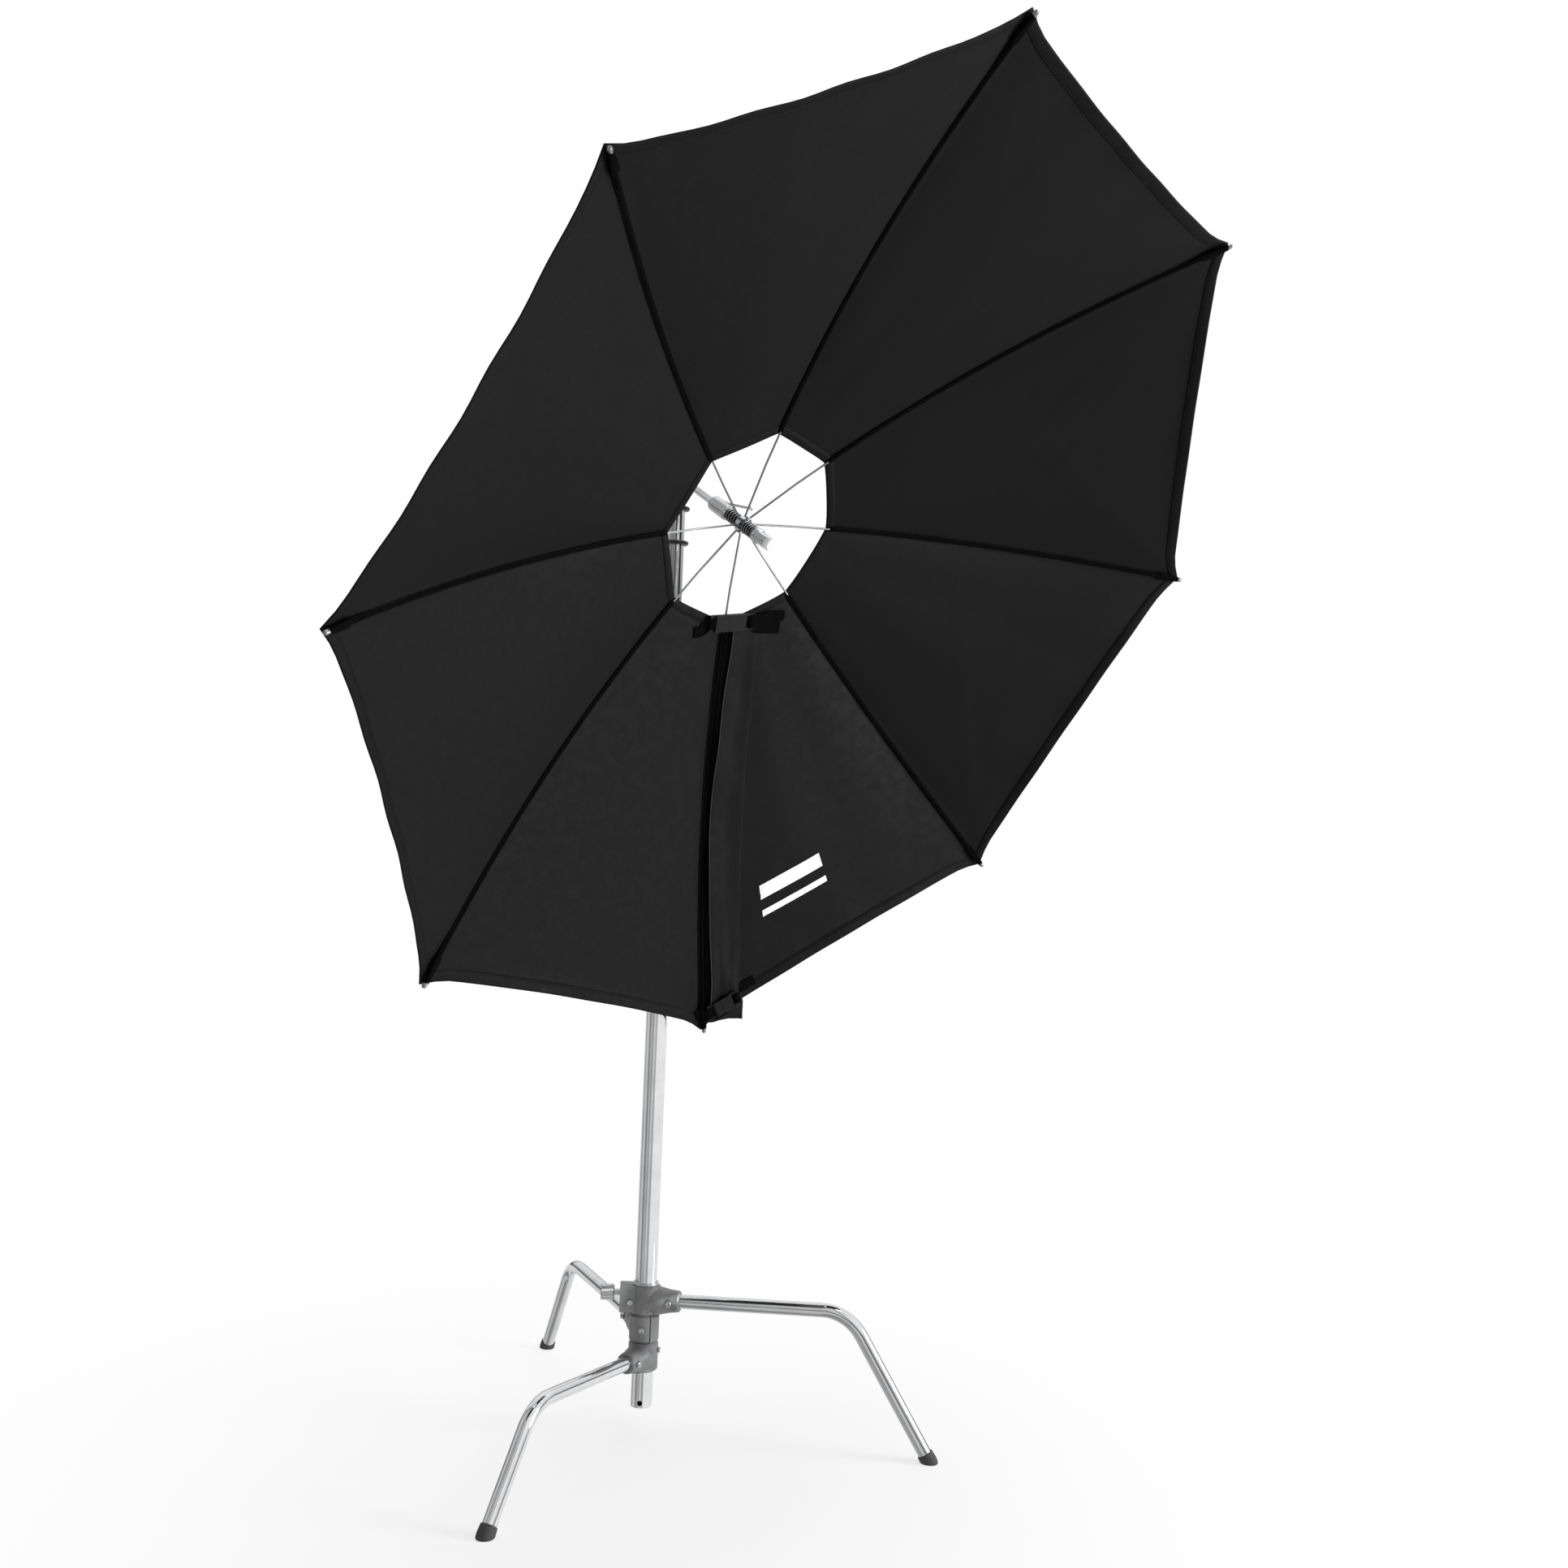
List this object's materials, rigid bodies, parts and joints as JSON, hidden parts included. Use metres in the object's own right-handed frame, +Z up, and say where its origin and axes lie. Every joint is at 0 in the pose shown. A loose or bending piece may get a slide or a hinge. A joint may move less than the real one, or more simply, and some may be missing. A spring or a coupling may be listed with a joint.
{
  "type": "studio softbox",
  "caption": "Large octagonal black fabric softbox on a folding rib frame, tilted on a three-section chrome light stand with a swivel leg base.",
  "frame": {"origin": "middle of the base of the bounding box, on the floor", "axes": "+Z up; the dish looks towards -Y and down; +X is to the right for someone who faces along +Y, into the dish"},
  "size_m": [1.5584, 1.2839, 1.9819],
  "materials": {
    "chrome_tube": "polished chrome plate",
    "grey_casting": "satin grey painted casting",
    "bright_steel": "bright zinc plated steel",
    "foot_rubber": "dark grey rubber",
    "black_plastic": "satin black plastic",
    "white_plastic": "white moulded plastic",
    "black_fabric": "black woven nylon"
  },
  "bodies": {
    "stand_base": {"base_column": "chrome_tube", "column_ring": "chrome_tube", "base_collar": "grey_casting", "top_leg_tube": "chrome_tube", "top_leg_casting": "grey_casting", "top_leg_foot": "foot_rubber", "top_leg_screw": "bright_steel", "top_leg_clamp_screw": "bright_steel"},
    "middle_leg": {"middle_leg_tube": "chrome_tube", "middle_leg_casting": "grey_casting", "middle_leg_foot": "foot_rubber", "middle_leg_screw": "bright_steel", "middle_leg_clamp_screw": "bright_steel"},
    "bottom_leg": {"bottom_leg_tube": "chrome_tube", "bottom_leg_casting": "grey_casting", "bottom_leg_foot": "foot_rubber", "bottom_leg_screw": "bright_steel", "bottom_leg_clamp_screw": "bright_steel"},
    "base_lock_knob": {"base_lock_knob": "bright_steel"},
    "base_collar_knob": {"base_collar_knob": "black_plastic"},
    "riser_1": {"riser_1_tube": "chrome_tube", "riser_1_collar": "grey_casting"},
    "riser_1_collar_knob": {"riser_1_collar_knob": "black_plastic"},
    "riser_2": {"riser_2_tube": "chrome_tube", "riser_2_lower_ring": "black_plastic", "riser_2_upper_ring": "black_plastic", "riser_stud": "bright_steel"},
    "grip_knuckle": {"grip_knuckle": "grey_casting"},
    "stud_lock_knob": {"stud_lock_knob": "black_plastic"},
    "grip_jaws": {"grip_inner_jaw": "grey_casting", "grip_outer_jaw": "grey_casting"},
    "grip_t_handle": {"grip_t_handle": "bright_steel"},
    "shaft": {"shaft": "chrome_tube", "hub_ring": "bright_steel", "rear_spring": "bright_steel", "front_spring": "bright_steel", "front_sleeve": "bright_steel", "shaft_tip": "white_plastic"},
    "slider": {"slider_block": "bright_steel"},
    "lock_lever": {"lock_lever": "bright_steel"},
    "rib_1": {"rib_1": "bright_steel", "fabric_panel_1": "black_fabric"},
    "rib_2": {"rib_2": "bright_steel", "fabric_panel_2": "black_fabric"},
    "rib_3": {"rib_3": "bright_steel", "fabric_panel_3": "black_fabric"},
    "rib_4": {"rib_4": "bright_steel", "fabric_panel_4": "black_fabric"},
    "rib_5": {"rib_5": "bright_steel", "fabric_panel_5": "black_fabric", "inner_buckle_socket": "black_plastic", "outer_buckle_socket": "black_plastic"},
    "rib_6": {"rib_6": "bright_steel", "fabric_panel_6": "black_fabric"},
    "rib_7": {"rib_7": "bright_steel", "fabric_panel_7": "black_fabric"},
    "rib_8": {"rib_8": "bright_steel", "fabric_panel_8": "black_fabric"},
    "inner_buckle_plug": {"inner_buckle_plug": "black_plastic"},
    "outer_buckle_plug": {"outer_buckle_plug": "black_plastic"}
  },
  "joints": [
    {"name": "middle_leg_swivel", "type": "hinge", "parent": "stand_base", "child": "middle_leg", "pos_m": [0.0733, 0.1968, 0], "axis": [0, 0, 1], "range_deg": [-118, 20]},
    {"name": "bottom_leg_swivel", "type": "hinge", "parent": "stand_base", "child": "bottom_leg", "pos_m": [0.0733, 0.1968, 0], "axis": [0, 0, 1], "range_deg": [-20, 96]},
    {"name": "base_lock_knob_turn", "type": "hinge", "parent": "stand_base", "child": "base_lock_knob", "pos_m": [0.05978, 0.20898, 0.226], "axis": [-0.7431, 0.6691, 0], "continuous": true},
    {"name": "base_collar_knob_turn", "type": "hinge", "parent": "stand_base", "child": "base_collar_knob", "pos_m": [0.0733, 0.213, 1.083], "axis": [0, 1, 0], "continuous": true},
    {"name": "riser_1_slide", "type": "slide", "parent": "stand_base", "child": "riser_1", "axis": [0, 0, 1], "range_m": [-0.14, 0.5]},
    {"name": "riser_1_collar_knob_turn", "type": "hinge", "parent": "riser_1", "child": "riser_1_collar_knob", "pos_m": [0.0733, 0.2106, 1.3], "axis": [0, 1, 0], "continuous": true},
    {"name": "riser_2_slide", "type": "slide", "parent": "riser_1", "child": "riser_2", "axis": [0, 0, 1], "range_m": [-0.05, 0.4]},
    {"name": "head_pan", "type": "hinge", "parent": "riser_2", "child": "grip_knuckle", "pos_m": [0.0733, 0.1968, 1.5528], "axis": [0, 0, 1], "range_deg": [-100, 100]},
    {"name": "stud_lock_knob_turn", "type": "hinge", "parent": "grip_knuckle", "child": "stud_lock_knob", "pos_m": [0.0733, 0.206, 1.564], "axis": [0, 1, 0], "continuous": true},
    {"name": "head_tilt", "type": "hinge", "parent": "grip_knuckle", "child": "grip_jaws", "pos_m": [0.0093, 0.1968, 1.5528], "axis": [-1, 0, 0], "range_deg": [0, 90]},
    {"name": "grip_t_handle_turn", "type": "hinge", "parent": "grip_jaws", "child": "grip_t_handle", "pos_m": [-0.0147, 0.1968, 1.5528], "axis": [1, 0, 0], "continuous": true},
    {"name": "shaft_slide", "type": "slide", "parent": "grip_jaws", "child": "shaft", "axis": [0, -0.8577, -0.5141], "range_m": [0, 0.1]},
    {"name": "slider_slide", "type": "slide", "parent": "shaft", "child": "slider", "axis": [0, 0.8577, 0.5141], "range_m": [0, 0.05], "deforming": ["rear_spring"]},
    {"name": "lock_lever_pivot", "type": "hinge", "parent": "slider", "child": "lock_lever", "pos_m": [0.00736, 0.01523, 1.47678], "axis": [-0.7431, -0.344, 0.5739], "range_deg": [-12, 50]},
    {"name": "rib_1_fold", "type": "hinge", "parent": "shaft", "child": "rib_1", "pos_m": [-0.00207, -0.03634, 1.44953], "axis": [0.9837, -0.0925, 0.1544], "range_deg": [0, 60], "deforming": ["fabric_panel_1"]},
    {"name": "rib_2_fold", "type": "hinge", "parent": "shaft", "child": "rib_2", "pos_m": [0.00654, -0.03539, 1.44794], "axis": [0.8228, 0.2922, -0.4874], "range_deg": [0, 60], "deforming": ["fabric_panel_2"]},
    {"name": "rib_3_fold", "type": "hinge", "parent": "shaft", "child": "rib_3", "pos_m": [0.01131, -0.03159, 1.4416], "axis": [0.18, 0.5057, -0.8437], "range_deg": [0, 60], "deforming": ["fabric_panel_3"]},
    {"name": "rib_4_fold", "type": "hinge", "parent": "shaft", "child": "rib_4", "pos_m": [0.00946, -0.02716, 1.43422], "axis": [-0.5683, 0.4231, -0.7058], "range_deg": [0, 60], "deforming": ["fabric_panel_4"]},
    {"name": "rib_5_fold", "type": "hinge", "parent": "shaft", "child": "rib_5", "pos_m": [0.00207, -0.02471, 1.43012], "axis": [-0.9837, 0.0925, -0.1544], "range_deg": [0, 60], "deforming": ["fabric_panel_5"]},
    {"name": "rib_6_fold", "type": "hinge", "parent": "shaft", "child": "rib_6", "pos_m": [-0.00654, -0.02566, 1.43171], "axis": [-0.8228, -0.2922, 0.4874], "range_deg": [0, 60], "deforming": ["fabric_panel_6"]},
    {"name": "rib_7_fold", "type": "hinge", "parent": "shaft", "child": "rib_7", "pos_m": [-0.01131, -0.02946, 1.43805], "axis": [-0.18, -0.5057, 0.8437], "range_deg": [0, 60], "deforming": ["fabric_panel_7"]},
    {"name": "rib_8_fold", "type": "hinge", "parent": "shaft", "child": "rib_8", "pos_m": [-0.00946, -0.03388, 1.44543], "axis": [0.5683, -0.4231, 0.7058], "range_deg": [0, 60], "deforming": ["fabric_panel_8"]},
    {"name": "inner_buckle_release", "type": "slide", "parent": "rib_5", "child": "inner_buckle_plug", "axis": [-0.9837, 0.0925, -0.1544], "range_m": [0, 0.024]},
    {"name": "outer_buckle_release", "type": "slide", "parent": "rib_5", "child": "outer_buckle_plug", "axis": [-0.8399, 0.279, -0.4655], "range_m": [0, 0.018]}
  ],
  "couplings": [
    {"joint": "rib_2_fold", "follows": "rib_1_fold", "ratio": 1},
    {"joint": "rib_3_fold", "follows": "rib_1_fold", "ratio": 1},
    {"joint": "rib_4_fold", "follows": "rib_1_fold", "ratio": 1},
    {"joint": "rib_5_fold", "follows": "rib_1_fold", "ratio": 1},
    {"joint": "rib_6_fold", "follows": "rib_1_fold", "ratio": 1},
    {"joint": "rib_7_fold", "follows": "rib_1_fold", "ratio": 1},
    {"joint": "rib_8_fold", "follows": "rib_1_fold", "ratio": 1},
    {"joint": "slider_slide", "follows": "rib_1_fold", "m_per_rad": 0.04773}
  ]
}
